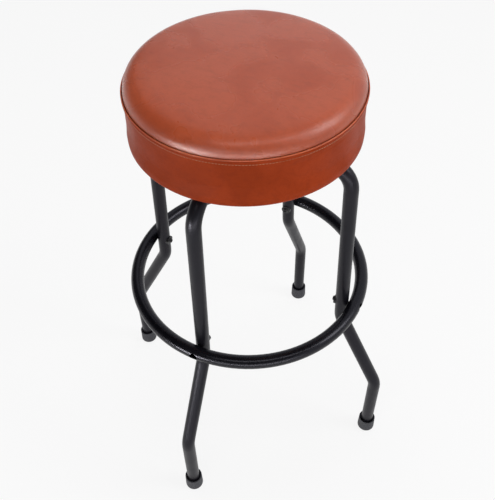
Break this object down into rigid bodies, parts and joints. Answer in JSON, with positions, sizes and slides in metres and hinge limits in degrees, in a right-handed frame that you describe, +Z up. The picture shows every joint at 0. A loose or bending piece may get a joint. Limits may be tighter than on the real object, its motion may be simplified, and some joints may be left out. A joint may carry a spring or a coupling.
{
  "type": "swivel bar stool",
  "caption": "Backless round padded bar stool: a vinyl cushion turns on a ball swivel above crossed bent-tube legs with a bolted foot ring.",
  "frame": {"origin": "on the floor under the swivel axis, midway between the four feet", "axes": "+Z up along the swivel axis; the legs lie along X and Y; the picture looks from between -Y and +X, nearer to -Y"},
  "size_m": [0.539, 0.539, 0.77],
  "materials": {
    "leg_paint": "satin black powder coat",
    "ring_paint": "glossier black powder coat",
    "cap_rubber": "matt dark grey moulded rubber",
    "black_steel": "black oxide steel",
    "zinc_steel": "zinc plated pressed steel",
    "bearing_steel": "polished steel with a film of grease",
    "plywood": "bare plywood with pale and dark plies at its edge",
    "foam": "open-cell cushion foam",
    "top_vinyl": "muted red-brown mottled vinyl with a fine grain, satin",
    "side_vinyl": "deeper red-brown mottled vinyl with a fine grain, satin"
  },
  "bodies": {
    "base": {"upper_leg_frame": "leg_paint", "lower_leg_frame": "leg_paint", "foot_ring": "ring_paint", "foot_cap_right": "cap_rubber", "foot_cap_back": "cap_rubber", "foot_cap_left": "cap_rubber", "foot_cap_front": "cap_rubber", "foot_discs": "zinc_steel", "ring_bolts": "black_steel", "ring_washers": "black_steel", "ring_nuts": "zinc_steel", "frame_bolts": "black_steel", "frame_washers": "black_steel", "frame_nuts": "zinc_steel", "swivel_lower_plate": "zinc_steel"},
    "bearing": {"bearing_balls": "bearing_steel", "ball_cage": "bearing_steel"},
    "seat": {"swivel_upper_plate": "zinc_steel", "swivel_rivet": "zinc_steel", "seat_board": "plywood", "seat_bolts": "zinc_steel", "tee_nuts": "zinc_steel", "seat_foam": "foam", "seat_top_panel": "top_vinyl", "seat_side_band": "side_vinyl", "seam_welt": "side_vinyl", "cover_staples": "zinc_steel"}
  },
  "joints": [
    {"name": "seat_swivel", "type": "hinge", "parent": "base", "child": "seat", "pos_m": [0, 0, 0.65925], "axis": [0, 0, 1], "continuous": true},
    {"name": "ball_roll", "type": "hinge", "parent": "base", "child": "bearing", "pos_m": [0, 0, 0.65925], "axis": [0, 0, 1], "continuous": true}
  ],
  "couplings": [
    {"joint": "ball_roll", "follows": "seat_swivel", "ratio": 0.5}
  ]
}
